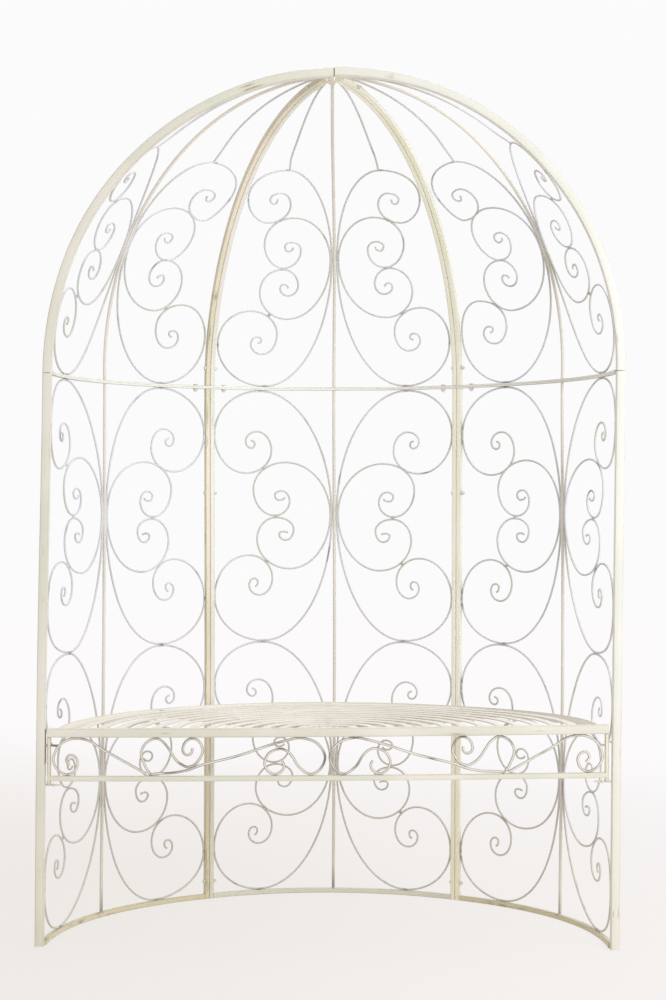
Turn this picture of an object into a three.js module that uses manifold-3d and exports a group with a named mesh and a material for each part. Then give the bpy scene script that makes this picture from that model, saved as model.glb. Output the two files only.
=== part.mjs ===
// A half-round steel arbour seat: a wall of three bent panels, a dome of three gores and a slatted bench.
// Millimetres, +Z up. The front faces -Y, and the origin is on the floor at the middle of the footprint.
import * as THREE from "three";
import { mergeVertices } from "three/addons/utils/BufferGeometryUtils.js";
import Module from "manifold-3d";

const wasm = await Module();
wasm.setup();

// Overall sizes
const overallWidth = 1320; // outside to outside of the front posts
const overallHeight = 2000; // floor to the top of the arch
const ringHeight = 1309; // floor to the seam between the wall and the dome
const panelInset = 18; // outside of a post to the centre line of the bent panels
const fitGap = 0.3; // between pieces that touch
const weldBite = 0.8; // how far one rod sinks into another at a weld

// Stock
const postTube = 20; // square tube of the posts and the arch
const postWall = 1.5;
const panelTube = 12; // square tube of the side members, bottom rails and ribs
const panelWall = 1.2;
const ringBar = 4; // thickness of the two flat bars of the ring
const centreRod = 8; // round rod up the middle of a panel
const scrollRod = 5; // round rod of the wall and dome scrolls
const apronRod = 6; // round rod of the bench scrolls
const goreBulge = 18; // how far the middle of a gore stands out beyond its ribs

// Bench
const seatHeight = 500;
const benchTube = 20; // square tube of the front bar
const benchWall = 1.5;
const rimStandoff = 24; // the seat's rim to the inside of the wall
const rimThickness = 4;
const rimHeight = 20;
const slatCount = 13;
const firstSlat = 61.5; // radius of the smallest slat
const lastSlatInset = 56.5; // the rim's centre line to that of the largest slat
const slatWidth = 20;
const slatThickness = 3;
const bearerThickness = 4;
const bearerDepth = 17;
const apronDepth = 120; // top of the seat to the underside of the apron rail
const apronTube = 12;
const apronWall = 1.2;
const endPlate = 3; // thickness of the plate at each end of the bench
const endPlateDrop = 14; // how far that plate hangs below the apron rail
const uprightWidth = 10;
const uprightDepth = 12;

// Fasteners
const boltSize = 6;
const boltClearance = 0.4; // all round a bolt in its hole
const nutWidth = 11;
const nutHeight = 5;
const headHeight = 3;
const boltStub = 3; // thread past a nut
const studStub = 5; // thread past the nuts of the bench
const ringBoltOffset = 40; // from a joint to the bolts of the ring
const upperBoltShare = 0.182; // of the apron's opening, down from the front bar to the upper bench bolts
const spacerSize = 10;
const apexStrapWidth = 24;
const apexStrapLap = 8; // how far the strap lies under the arch, either side of its middle
const apexPlateWidth = 60;
const apexPlateReach = 50; // from the arch's middle to the back of the plate
const apexPlateThickness = 4;

// Counts: steps of bent pieces and sides of round ones
const railSteps = 8;
const archSteps = 12;
const ribSteps = 9;
const goreRodSteps = 9;
const rimSteps = 36;
const slatSteps = 12; // of the largest slat: smaller ones take fewer, with as flat a step
const rodSides = 8;
const wideTurnSteps = 3;
const curlTurnSteps = 2;
const curlSize = 60; // a quarter turn smaller than this is part of a curl
const eyeSize = 15; // and one smaller than this is in its eye, where a single step is enough

// The turning points of the scrolls, outwards from the centre rod. Each row is [across share, height share]
// where the rod's run turns: across from the centre rod to the side member, up from the bottom of the field.
const wallOuterUpperShares = [
  [0, 0.503],
  [0.6, 1],
  [1, 0.826],
  [0.717, 0.672],
  [0.498, 0.764],
  [0.622, 0.84],
  [0.719, 0.8],
  [0.671, 0.773],
  [0.64, 0.789],
  [0.672, 0.803],
];
const wallOuterLowerShares = [
  [0, 0.503],
  [0.6, 0],
  [1, 0.176],
  [0.695, 0.341],
  [0.494, 0.248],
  [0.606, 0.18],
  [0.693, 0.22],
  [0.649, 0.247],
  [0.618, 0.233],
  [0.641, 0.215],
];
const wallInnerUpperShares = [
  [0, 0.503],
  [0.385, 0.716],
  [0.66, 0.605],
  [0.478, 0.501],
  [0.352, 0.559],
  [0.421, 0.601],
  [0.477, 0.582],
  [0.439, 0.563],
  [0.394, 0.574],
];
const wallInnerLowerShares = [
  [0, 0.503],
  [0.352, 0.286],
  [0.63, 0.404],
  [0.465, 0.493],
  [0.319, 0.445],
  [0.385, 0.401],
  [0.442, 0.425],
  [0.408, 0.436],
  [0.371, 0.43],
];
const domeOuterUpperShares = [
  [0, 0.312],
  [0.6, 0.558],
  [0.955, 0.47],
  [0.656, 0.408],
  [0.442, 0.459],
  [0.576, 0.49],
  [0.688, 0.471],
  [0.633, 0.459],
  [0.602, 0.473],
];
const domeOuterLowerShares = [
  [0, 0.312],
  [0.592, 0],
  [0.985, 0.098],
  [0.701, 0.183],
  [0.465, 0.128],
  [0.589, 0.078],
  [0.689, 0.101],
  [0.636, 0.12],
  [0.598, 0.113],
  [0.627, 0.105],
];
const domeInnerUpperShares = [
  [0, 0.312],
  [0.384, 0.421],
  [0.655, 0.348],
  [0.447, 0.291],
  [0.293, 0.337],
  [0.382, 0.357],
  [0.451, 0.345],
  [0.416, 0.333],
  [0.37, 0.343],
];
const domeInnerLowerShares = [
  [0, 0.312],
  [0.388, 0.165],
  [0.643, 0.227],
  [0.446, 0.287],
  [0.3, 0.249],
  [0.383, 0.222],
  [0.461, 0.238],
  [0.432, 0.25],
  [0.39, 0.241],
];
// The straight run of a dome scroll up to the apex, from the top of its outer rod.
const domeStemShares = [
  [0.6, 0.558],
  [0.548, 0.597],
  [0.53, 0.66],
  [0.53, 0.76],
  [0.56, 0.86],
  [0.53, 0.95],
];
// The bench scrolls, from the middle of the apron out to the end upright and from rail to front bar.
const apronEndShares = [
  [0.94, 0.25],
  [0.952, 0.38],
  [0.947, 0.5],
  [0.934, 0.54],
  [0.917, 0.47],
  [0.91, 0.3],
  [0.922, 0.09],
  [0.951, 0],
  [0.984, 0.13],
  [1, 0.41],
  [0.985, 0.74],
  [0.953, 0.94],
  [0.915, 1],
  [0.869, 0.93],
  [0.817, 0.68],
  [0.757, 0.43],
  [0.66, 0.02],
];
const apronMiddleShares = [
  [0.644, 0],
  [0.663, 0.22],
  [0.679, 0.58],
  [0.662, 0.87],
  [0.624, 1],
  [0.59, 0.83],
  [0.556, 0.44],
  [0.532, 0.28],
  [0.506, 0.21],
  [0.476, 0.33],
  [0.455, 0.64],
  [0.468, 0.91],
  [0.494, 1],
  [0.518, 0.9],
  [0.528, 0.7],
  [0.522, 0.58],
  [0.509, 0.54],
  [0.497, 0.59],
  [0.492, 0.72],
];
const apronInnerShares = [
  [0.644, 0],
  [0.617, 0.03],
  [0.56, 0.05],
  [0.506, 0.13],
  [0.455, 0.27],
  [0.32, 0.53],
  [0.218, 0.79],
  [0.141, 0.95],
  [0.095, 1],
  [0.04, 0.86],
  [0.009, 0.5],
  [0.025, 0.15],
  [0.062, 0],
  [0.103, 0.2],
  [0.128, 0.49],
  [0.15, 0.65],
  [0.177, 0.7],
  [0.213, 0.58],
  [0.229, 0.32],
  [0.217, 0.1],
  [0.19, 0],
  [0.165, 0.1],
  [0.158, 0.24],
  [0.165, 0.36],
];
const apronStepsPerPoint = 2;
const footShare = 0.1; // of a middle rod of the apron, from its foot to where it has left the other's
const weldSearchSteps = 10;

// Worked out from the sizes above
const panelRadius = overallWidth / 2 - panelInset;
const domeRise = overallHeight - ringHeight - panelInset;
const archRadius = overallWidth / 2 - postTube / 2;
const archRise = overallHeight - ringHeight - postTube / 2;
const panelInner = panelRadius - panelTube / 2;
const rimRadius = panelInner - rimStandoff - rimThickness / 2;
const lastSlat = rimRadius - lastSlatInset;
const slatPitch = (lastSlat - firstSlat) / (slatCount - 1);
const depthMiddle = (panelRadius + panelTube / 2 - postTube / 2) / 2;
const sideOffset = (fitGap + panelTube) / 2; // joint to the middle of a side member
const jointEdge = fitGap / 2 + panelTube; // joint to the inner face of a side member
const ringUnder = ringHeight - ringBar;
const domeBarBottom = ringHeight + fitGap;
const domeBarTop = domeBarBottom + ringBar;
const equalArea = Math.sqrt(Math.PI) / 2; // side of a square section against the round rod it stands for
const scrollSide = scrollRod * equalArea;
const boltHole = boltSize + 2 * boltClearance;
const apronSide = apronRod * equalArea;
const goreRodSide = centreRod * equalArea;
const postInner = overallWidth / 2 - postTube;

const panels = [
  { name: "left", turn: -1 },
  { name: "centre", turn: 0 },
  { name: "right", turn: 1 },
];
const sides = [
  { name: "left", sign: -1 },
  { name: "right", sign: 1 },
];
const halfSpan = Math.PI / panels.length / 2;
const panelAngle = (panel) => panel.turn * 2 * halfSpan;
const atPost = (panel, side) => panel.turn === side.sign;

// The plan: an angle is measured from +Y towards +X.
const up = new THREE.Vector3(0, 0, 1);
const outward = (angle) => new THREE.Vector3(Math.sin(angle), Math.cos(angle), 0);
const along = (angle) => new THREE.Vector3(Math.cos(angle), -Math.sin(angle), 0);
const onPlan = (angle, radius, z) => outward(angle).multiplyScalar(radius).addScaledVector(up, z);

const arbour = new THREE.Group();
const frame = new THREE.Group();
frame.position.y = -depthMiddle;
arbour.add(frame);

const creamPaint = { color: 0xe4dfd0, roughness: 0.5, metalness: 0.1 };
const brushedCream = { color: 0xd9d2c2, roughness: 0.55, metalness: 0.15 };
const zincPlate = { color: 0xc9c4b4, roughness: 0.45, metalness: 0.5 };

function add(name, geometry, finish) {
  const mesh = new THREE.Mesh(geometry, new THREE.MeshStandardMaterial(finish));
  mesh.name = name;
  frame.add(mesh);
  return mesh;
}

// Booleans
function solidOf(geometry) {
  const bare = geometry.clone();
  bare.deleteAttribute("normal");
  bare.deleteAttribute("uv");
  const merged = mergeVertices(bare);
  return new wasm.Manifold(
    new wasm.Mesh({
      numProp: 3,
      vertProperties: merged.attributes.position.array,
      triVerts: new Uint32Array(merged.index.array),
    }),
  );
}

function geometryOf(solid) {
  const made = solid.getMesh();
  return new THREE.BufferGeometry()
    .setAttribute("position", new THREE.BufferAttribute(made.vertProperties, made.numProp))
    .setIndex(new THREE.BufferAttribute(made.triVerts, 1));
}

const joined = (geometries) => geometryOf(geometries.map(solidOf).reduce((all, one) => all.add(one)));
const cut = (geometry, tools) =>
  geometryOf(tools.map(solidOf).reduce((left, tool) => left.subtract(tool), solidOf(geometry)));

// A bar with a square-cornered section, bent along stations of { centre, out }. Its depth is measured
// along out and its width across it. A station may name its own direction, and a wall makes a tube.
function bentBar(stations, width, depth, wall = 0) {
  const positions = [];
  const triangles = [];
  const last = stations.length - 1;
  const corners = [
    [1, 1],
    [1, -1],
    [-1, -1],
    [-1, 1],
  ];
  const skins = wall > 0 ? [0, wall] : [0];
  const ringSize = corners.length * skins.length;
  stations.forEach(({ centre, out, direction }, i) => {
    const before = stations[Math.max(i - 1, 0)].centre;
    const after = stations[Math.min(i + 1, last)].centre;
    const run = direction ? direction.clone() : after.clone().sub(before).normalize();
    const side = run.clone().cross(out).normalize();
    const square = side.clone().cross(run);
    for (const inset of skins) {
      for (const [across, deep] of corners) {
        const corner = centre
          .clone()
          .addScaledVector(side, across * (width / 2 - inset))
          .addScaledVector(square, deep * (depth / 2 - inset));
        positions.push(corner.x, corner.y, corner.z);
      }
    }
  });
  const quad = (a, b, c, d) => triangles.push(a, b, c, a, c, d);
  for (let i = 0; i < last; i += 1) {
    corners.forEach((_, k) => {
      const next = (k + 1) % corners.length;
      const here = i * ringSize;
      const there = here + ringSize;
      quad(here + k, here + next, there + next, there + k);
      if (wall > 0) {
        const skin = corners.length;
        quad(here + skin + k, there + skin + k, there + skin + next, here + skin + next);
      }
    });
  }
  const end = last * ringSize;
  if (wall > 0) {
    corners.forEach((_, k) => {
      const next = (k + 1) % corners.length;
      const skin = corners.length;
      quad(k, skin + k, skin + next, next);
      quad(end + k, end + next, end + skin + next, end + skin + k);
    });
  } else {
    quad(0, 3, 2, 1);
    quad(end, end + 1, end + 2, end + 3);
  }
  return new THREE.BufferGeometry()
    .setAttribute("position", new THREE.Float32BufferAttribute(positions, 3))
    .setIndex(triangles);
}

const spread = (from, to, steps) =>
  Array.from({ length: steps + 1 }, (_, i) => from + ((to - from) * i) / steps);

// A level bar bent to a radius about the origin, from one plan angle to another.
function levelArc(radius, z, from, to, steps) {
  return spread(from, to, steps).map((angle) => ({
    centre: onPlan(angle, radius, z),
    out: outward(angle),
    direction: along(angle),
  }));
}

function squareOutline(size) {
  const half = size / 2;
  return [
    new THREE.Vector2(-half, -half),
    new THREE.Vector2(half, -half),
    new THREE.Vector2(half, half),
    new THREE.Vector2(-half, half),
  ];
}

// A straight square tube, standing on its own origin.
function straightTube(size, wall, length) {
  const outline = new THREE.Shape(squareOutline(size));
  outline.holes.push(new THREE.Path(squareOutline(size - 2 * wall)));
  return new THREE.ExtrudeGeometry(outline, { depth: length, bevelEnabled: false });
}

function uprightRod(size, length) {
  return new THREE.CylinderGeometry(size / 2, size / 2, length, rodSides).rotateX(Math.PI / 2);
}

// Scrolls: quarter ellipses from turning point to turning point, the first leaving upright. The run may
// start at a later turn than the first.
function roundTurns(rows, start = 0) {
  const points = [rows[start]];
  for (let i = start; i < rows.length - 1; i += 1) {
    const from = rows[i];
    const to = rows[i + 1];
    const run = to[0] - from[0];
    const rise = to[1] - from[1];
    const size = Math.max(Math.abs(run), Math.abs(rise));
    const curlSteps = size > eyeSize ? curlTurnSteps : 1;
    const steps = size > curlSize ? wideTurnSteps : curlSteps;
    for (const turn of spread(0, Math.PI / 2, steps).slice(1)) {
      const slow = 1 - Math.cos(turn);
      const fast = Math.sin(turn);
      const upright = i % 2 === 0;
      points.push([from[0] + run * (upright ? slow : fast), from[1] + rise * (upright ? fast : slow)]);
    }
  }
  return points;
}

// One C-shaped rod: the upper curl run backwards into the lower one. place() puts a point on its panel.
function scrollStations(upperRows, lowerRows, place) {
  const upper = roundTurns(upperRows).reverse();
  const lower = roundTurns(lowerRows).slice(1);
  return [...upper, ...lower].map(([across, height]) => place(across, height));
}

// A bead across the narrowest gap between two rods, looked for at points along their straight steps.
function weldBead(first, second, rodSide) {
  const fine = (bends) =>
    bends.slice(1).flatMap((to, i) => spread(0, 1, weldSearchSteps).map((t) => bends[i].clone().lerp(to, t)));
  const others = fine(second);
  let least = { gap: Infinity };
  for (const from of fine(first)) {
    for (const to of others) {
      const gap = from.distanceTo(to);
      if (gap < least.gap) least = { gap, from, to };
    }
  }
  const bead = new THREE.IcosahedronGeometry(Math.max(least.gap, rodSide) / 2 + weldBite, 0);
  const middle = least.from.clone().lerp(least.to, 1 / 2);
  return bead.translate(middle.x, middle.y, middle.z);
}

// The rods of one pair of scrolls with their welds. Each of the four runs is a list of [across, height] rows.
function scrollPair(outerUpper, outerLower, innerUpper, innerLower, place) {
  const curl = (rows, start) =>
    roundTurns(rows, start).map(([across, height]) => place(across, height).centre);
  const rods = [
    [outerUpper, outerLower],
    [innerUpper, innerLower],
  ].map(([upper, lower]) => bentBar(scrollStations(upper, lower, place), scrollSide, scrollSide));
  const beads = [
    weldBead(curl(outerUpper, 2), curl(innerUpper, 1), scrollSide),
    weldBead(curl(outerLower, 2), curl(innerLower, 1), scrollSide),
    weldBead(curl(innerUpper, 2), curl(innerLower, 2), scrollSide),
  ];
  return [...rods, ...beads];
}

const rodContact = centreRod / 2 + fitGap + scrollSide / 2; // centre rod to the spine of an outer scroll
const spineStep = scrollSide - weldBite; // outer spine to inner spine
const edgeAt = (panel, side) => (atPost(panel, side) ? postTube / 2 : jointEdge);

// Walls
const wallBase = panelTube + fitGap + scrollSide / 2;
const wallTop = ringUnder - fitGap - scrollSide / 2;
const wallMiddle = (wallBase + wallTop) / 2;
const unitLap = (scrollSide - weldBite) / 2;
const wallUnits = [
  { low: wallMiddle + unitLap, high: wallTop },
  { low: wallBase, high: wallMiddle - unitLap },
];
const levelEnd = (clearance) => halfSpan - Math.asin(clearance / panelInner);
const boltRound = (radius) => new THREE.CylinderGeometry(radius, radius, overallHeight, rodSides);

function ringBoltAngles(panel) {
  const shift = halfSpan - ringBoltOffset / panelRadius;
  return sides.filter((side) => !atPost(panel, side)).map((side) => panelAngle(panel) + side.sign * shift);
}

function ringFlat(panel, z) {
  const ends = sides.map((side) => levelEnd(atPost(panel, side) ? postTube / 2 + fitGap : fitGap / 2));
  const from = panelAngle(panel) - ends[0];
  const to = panelAngle(panel) + ends[1];
  const holes = ringBoltAngles(panel).map((angle) => {
    const hole = boltRound(boltHole / 2).rotateX(Math.PI / 2);
    const at = onPlan(angle, panelRadius, ringHeight);
    return hole.translate(at.x, at.y, at.z);
  });
  const flat = bentBar(levelArc(panelRadius, z + ringBar / 2, from, to, railSteps), ringBar, panelTube);
  return cut(flat, holes);
}

function wallScrolls(panel, side) {
  const angle = panelAngle(panel);
  const clearAngle = halfSpan - Math.asin(edgeAt(panel, side) / panelRadius);
  const clear = panelRadius * clearAngle - fitGap - scrollSide / 2;
  const place = (across, height) => {
    const turned = angle + (side.sign * across) / panelRadius;
    return { centre: onPlan(turned, panelRadius, height), out: outward(turned) };
  };
  const rods = wallUnits.flatMap(({ low, high }) => {
    const rows = (shares, spine) =>
      shares.map(([across, height], i) => [
        i === 0 ? spine : rodContact + across * (clear - rodContact),
        low + height * (high - low),
      ]);
    return scrollPair(
      rows(wallOuterUpperShares, rodContact),
      rows(wallOuterLowerShares, rodContact),
      rows(wallInnerUpperShares, rodContact + spineStep),
      rows(wallInnerLowerShares, rodContact + spineStep),
      place,
    );
  });
  return joined(rods);
}

for (const panel of panels) {
  const angle = panelAngle(panel);
  const railEnds = sides.map((side) => levelEnd(edgeAt(panel, side) + fitGap));
  const rail = levelArc(panelRadius, panelTube / 2, angle - railEnds[0], angle + railEnds[1], railSteps);
  add(panel.name + "_wall_bottom_rail", bentBar(rail, panelTube, panelTube, panelWall), creamPaint);
  add(panel.name + "_wall_top_bar", ringFlat(panel, ringUnder), creamPaint);
  const rodLength = ringUnder - panelTube - 2 * fitGap;
  const rod = add(panel.name + "_wall_centre_rod", uprightRod(centreRod, rodLength), brushedCream);
  rod.position.copy(onPlan(angle, panelRadius, (ringUnder + panelTube) / 2));
  for (const side of sides) {
    add(panel.name + "_wall_scrolls_" + side.name, wallScrolls(panel, side), brushedCream);
    if (atPost(panel, side)) continue;
    const joint = angle + side.sign * halfSpan;
    const member = straightTube(panelTube, panelWall, ringUnder - fitGap);
    const mesh = add(panel.name + "_wall_side_member_" + side.name, member, creamPaint);
    mesh.position.copy(onPlan(joint, panelRadius, 0)).addScaledVector(along(joint), -side.sign * sideOffset);
    mesh.rotation.z = -joint;
  }
}

for (const side of sides) {
  const post = add(side.name + "_front_post", straightTube(postTube, postWall, ringHeight), creamPaint);
  post.position.x = side.sign * archRadius;
}

// Dome
function ellipseStations(radius, rise, from, to, steps, stand) {
  return spread(from, to, steps).map((lift) => {
    const slope = Math.atan2(radius * Math.sin(lift), rise * Math.cos(lift));
    return {
      centre: stand(radius * Math.cos(lift)).addScaledVector(up, ringHeight + rise * Math.sin(lift)),
      flat: Math.cos(slope),
      steep: Math.sin(slope),
    };
  });
}

// A bar bent up an upright plane: outDirection is level, in that plane, away from the axis.
function uprightArc(radius, rise, from, to, steps, outDirection, shift) {
  const stand = (reach) => outDirection.clone().multiplyScalar(reach).add(shift);
  return ellipseStations(radius, rise, from, to, steps, stand).map(({ centre, flat, steep }) => ({
    centre,
    out: outDirection.clone().multiplyScalar(flat).addScaledVector(up, steep),
    direction: outDirection.clone().multiplyScalar(-steep).addScaledVector(up, flat),
  }));
}

function archStations(side) {
  const from = Math.asin(fitGap / archRise);
  const to = Math.acos(fitGap / 2 / archRadius);
  const outDirection = new THREE.Vector3(side.sign, 0, 0);
  return uprightArc(archRadius, archRise, from, to, archSteps, outDirection, new THREE.Vector3());
}

for (const side of sides) {
  add(side.name + "_arch_half", bentBar(archStations(side), postTube, postTube, postWall), creamPaint);
}

// The ribs stop where the two inner ones would close on the centre rod.
const ribStop =
  (jointEdge * Math.cos(halfSpan) + goreRodSide / 2 + fitGap) / Math.sin(halfSpan) + fitGap;
const ribFrom = Math.asin((domeBarTop + fitGap - ringHeight) / domeRise);
const ribTo = Math.acos(ribStop / panelRadius);
// The outer two centre rods also stop short of the arch.
const archStop =
  (postTube / 2 + fitGap + (goreRodSide / 2) * Math.sin(2 * halfSpan)) / Math.cos(2 * halfSpan);
const rodTo = Math.acos(Math.max(ribStop, archStop) / panelRadius);

function ribStations(panel, side) {
  const joint = panelAngle(panel) + side.sign * halfSpan;
  const shift = along(joint).multiplyScalar(-side.sign * sideOffset);
  return uprightArc(panelRadius, domeRise, ribFrom, ribTo, ribSteps, outward(joint), shift);
}

// A point of a gore: across it in millimetres and up it as a lift angle.
function gorePlace(panel, across, lift) {
  const level = panelRadius * Math.cos(lift);
  const turned = panelAngle(panel) + across / level;
  const fromMiddle = across / level / halfSpan;
  const bulge = goreBulge * (1 - fromMiddle * fromMiddle) * Math.sin(2 * lift);
  const radius = (panelRadius + bulge) * Math.cos(lift);
  const z = ringHeight + (domeRise + bulge) * Math.sin(lift);
  const out = outward(turned).multiplyScalar(Math.cos(lift)).addScaledVector(up, Math.sin(lift));
  return { centre: onPlan(turned, radius, z), out };
}

function domeScrolls(panel, side) {
  const foot = Math.asin((domeBarTop + fitGap + scrollSide / 2 - ringHeight) / domeRise);
  const arcLength = (panelRadius + domeRise) / 2;
  const clearAt = (lift) =>
    panelRadius * Math.cos(lift) * halfSpan - edgeAt(panel, side) - fitGap - scrollSide / 2;
  const rows = (shares, spine) =>
    shares.map(([across, height], i) => {
      const lift = foot + height * (Math.PI / 2 - foot);
      const run = rodContact + across * (clearAt(lift) - rodContact);
      return [i === 0 ? spine : run, lift * arcLength];
    });
  const place = (across, height) => gorePlace(panel, side.sign * across, height / arcLength);
  const pair = scrollPair(
    rows(domeOuterUpperShares, rodContact),
    rows(domeOuterLowerShares, rodContact),
    rows(domeInnerUpperShares, rodContact + spineStep),
    rows(domeInnerLowerShares, rodContact + spineStep),
    place,
  );
  const stemRows = rows(domeStemShares, 0);
  stemRows[0] = rows(domeOuterUpperShares, rodContact)[1];
  const stem = stemRows.map(([across, height]) => place(across, height));
  return joined([...pair, bentBar(stem, scrollSide, scrollSide)]);
}

for (const panel of panels) {
  add(panel.name + "_dome_bottom_bar", ringFlat(panel, domeBarBottom), creamPaint);
  const rodFrom = Math.asin((domeBarTop + fitGap - ringHeight) / domeRise);
  const rodStations = spread(rodFrom, rodTo, goreRodSteps).map((lift) => gorePlace(panel, 0, lift));
  add(panel.name + "_dome_centre_rod", bentBar(rodStations, goreRodSide, goreRodSide), brushedCream);
  for (const side of sides) {
    add(panel.name + "_dome_scrolls_" + side.name, domeScrolls(panel, side), brushedCream);
    if (atPost(panel, side)) continue;
    const rib = bentBar(ribStations(panel, side), panelTube, panelTube, panelWall);
    add(panel.name + "_dome_rib_" + side.name, rib, creamPaint);
  }
}

// The bracket at the apex: a strap under the arch and a plate under the ends of the ribs.
function apexBracket() {
  const reachOf = (point) => Math.hypot(point.x, point.y);
  const lastSlope = (outer, inner) => (inner.z - outer.z) / (reachOf(outer) - reachOf(inner));
  const [outer, inner] = ribStations(panels[1], sides[0]).slice(-2).map(({ centre }) => centre);
  const slope = lastSlope(outer, inner);
  const fall = (Math.hypot(apexPlateWidth / 2, apexPlateReach) - reachOf(inner)) * slope;
  const plateTop = inner.z - fall - (panelTube / 2) * Math.hypot(1, slope) - fitGap;
  const archUnder = archStations(sides[1]).map(({ centre, out }) => centre.addScaledVector(out, -postTube / 2));
  const archFall = (apexStrapWidth / 2) * lastSlope(...archUnder.slice(-2));
  const strapTop = overallHeight - postTube - archFall - fitGap;
  const plateBottom = plateTop - apexPlateThickness;
  const plateFront = postTube / 2;
  const plate = new THREE.BoxGeometry(apexPlateWidth, apexPlateReach - plateFront, apexPlateThickness);
  plate.translate(0, (apexPlateReach + plateFront) / 2, plateTop - apexPlateThickness / 2);
  const strapLength = plateFront + apexStrapLap + weldBite;
  const strap = new THREE.BoxGeometry(apexStrapWidth, strapLength, strapTop - plateBottom);
  strap.translate(0, strapLength / 2 - apexStrapLap, (strapTop + plateBottom) / 2);
  return joined([plate, strap]);
}
add("apex_bracket", apexBracket(), creamPaint);

// Fasteners
function turnedBolt(profile) {
  const points = [[0, profile[0][1]], ...profile, [0, profile[profile.length - 1][1]]];
  return new THREE.LatheGeometry(
    points.map(([radius, height]) => new THREE.Vector2(radius, height)),
    rodSides,
  );
}

// A nut below the ring, a head above it and the bolt between them.
function ringBolt() {
  const nutTop = ringUnder - fitGap;
  const nutBottom = nutTop - nutHeight;
  const headBottom = domeBarTop + fitGap;
  return turnedBolt([
    [boltSize / 2, nutBottom - boltStub],
    [boltSize / 2, nutBottom],
    [nutWidth / 2, nutBottom],
    [nutWidth / 2, nutTop],
    [boltSize / 2, nutTop],
    [boltSize / 2, headBottom],
    [nutWidth / 2, headBottom],
    [nutWidth / 2, headBottom + headHeight],
  ]).rotateX(Math.PI / 2);
}

for (const panel of panels) {
  ringBoltAngles(panel).forEach((angle) => {
    const place = angle < 0 ? "left" : "right";
    const bolt = add("ring_bolt_" + panel.name + "_panel_" + place, ringBolt(), zincPlate);
    bolt.position.copy(onPlan(angle, panelRadius, 0));
  });
}

// Bench
const plateOuter = postInner - fitGap;
const barEnd = plateOuter - endPlate - fitGap;
const barUnder = seatHeight - benchTube;
const upperBoltDrop = benchTube + upperBoltShare * (apronDepth - apronTube - benchTube);
const lowerBoltDrop = apronDepth + nutWidth / 2 + fitGap; // its nut just clears the apron rail
const railTop = seatHeight - apronDepth + apronTube;
const uprightInner = barEnd - uprightWidth;

const frontBar = straightTube(benchTube, benchWall, 2 * barEnd).rotateY(Math.PI / 2);
add("bench_front_bar", frontBar, creamPaint).position.set(-barEnd, 0, seatHeight - benchTube / 2);
const apronRail = straightTube(apronTube, apronWall, 2 * barEnd).rotateY(Math.PI / 2);
add("bench_apron_rail", apronRail, creamPaint).position.set(-barEnd, 0, railTop - apronTube / 2);

// A half ring from the back of the front bar round to it again.
function halfRing(radius, deep, z, steps) {
  const lead = Math.asin((benchTube / 2 + fitGap) / (radius - deep / 2));
  return levelArc(radius, z, lead - Math.PI / 2, Math.PI / 2 - lead, steps);
}
const rimStations = halfRing(rimRadius, rimThickness, seatHeight - rimHeight / 2, rimSteps);
add("bench_rim", bentBar(rimStations, rimHeight, rimThickness), creamPaint);

function seatGrid() {
  const slats = Array.from({ length: slatCount }, (_, i) => {
    const radius = firstSlat + i * slatPitch;
    const steps = Math.ceil(slatSteps * Math.sqrt(radius / lastSlat));
    const stations = halfRing(radius, slatWidth, seatHeight - slatThickness / 2, steps);
    return bentBar(stations, slatThickness, slatWidth);
  });
  const rimInner = (rimRadius - rimThickness / 2) * Math.cos(Math.PI / 2 / rimSteps);
  const bearers = [-Math.PI / 4, 0, Math.PI / 4].map((angle) => {
    const near = (benchTube / 2 + fitGap + bearerThickness / 2) / Math.cos(angle);
    const far = rimInner - fitGap;
    const bearer = new THREE.BoxGeometry(bearerThickness, far - near, bearerDepth);
    bearer.translate(0, (far + near) / 2, seatHeight - slatThickness + weldBite / 2 - bearerDepth / 2);
    return bearer.rotateZ(-angle);
  });
  return joined([...slats, ...bearers]);
}
add("bench_seat_slats", seatGrid(), creamPaint);

// An end of the bench: a bolted plate against the post, with an upright welded to it.
function benchEnd(sign) {
  const facing = new THREE.Matrix4().makeBasis(
    new THREE.Vector3(0, 1, 0),
    new THREE.Vector3(0, 0, 1),
    new THREE.Vector3(1, 0, 0),
  );
  const slab = (deep, low, high, thickness, holeDrops) => {
    const outline = new THREE.Shape([
      new THREE.Vector2(-deep / 2, low),
      new THREE.Vector2(deep / 2, low),
      new THREE.Vector2(deep / 2, high),
      new THREE.Vector2(-deep / 2, high),
    ]);
    for (const drop of holeDrops) {
      const hole = new THREE.Path();
      hole.absarc(0, seatHeight - drop, boltHole / 2, 0, 2 * Math.PI, true);
      outline.holes.push(hole);
    }
    const settings = { depth: thickness, bevelEnabled: false, curveSegments: rodSides };
    return new THREE.ExtrudeGeometry(outline, settings).applyMatrix4(facing);
  };
  const plateLow = seatHeight - apronDepth - endPlateDrop;
  const plate = slab(benchTube, plateLow, seatHeight, endPlate, [upperBoltDrop, lowerBoltDrop]);
  plate.translate(plateOuter - endPlate, 0, 0);
  const upright = slab(uprightDepth, railTop + fitGap, barUnder - fitGap, uprightWidth + weldBite, [
    upperBoltDrop,
  ]);
  upright.translate(plateOuter - endPlate - uprightWidth, 0, 0);
  const end = joined([plate, upright]);
  return sign > 0 ? end : end.rotateZ(Math.PI);
}

// A stud from the post through the end of the bench, with its nut on the inside.
function benchStud(grip) {
  const nutFace = plateOuter - grip - fitGap;
  return turnedBolt([
    [boltSize / 2, nutFace - nutHeight - studStub],
    [boltSize / 2, nutFace - nutHeight],
    [nutWidth / 2, nutFace - nutHeight],
    [nutWidth / 2, nutFace],
    [boltSize / 2, nutFace],
    [boltSize / 2, plateOuter],
  ]).rotateZ(-Math.PI / 2);
}

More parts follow.
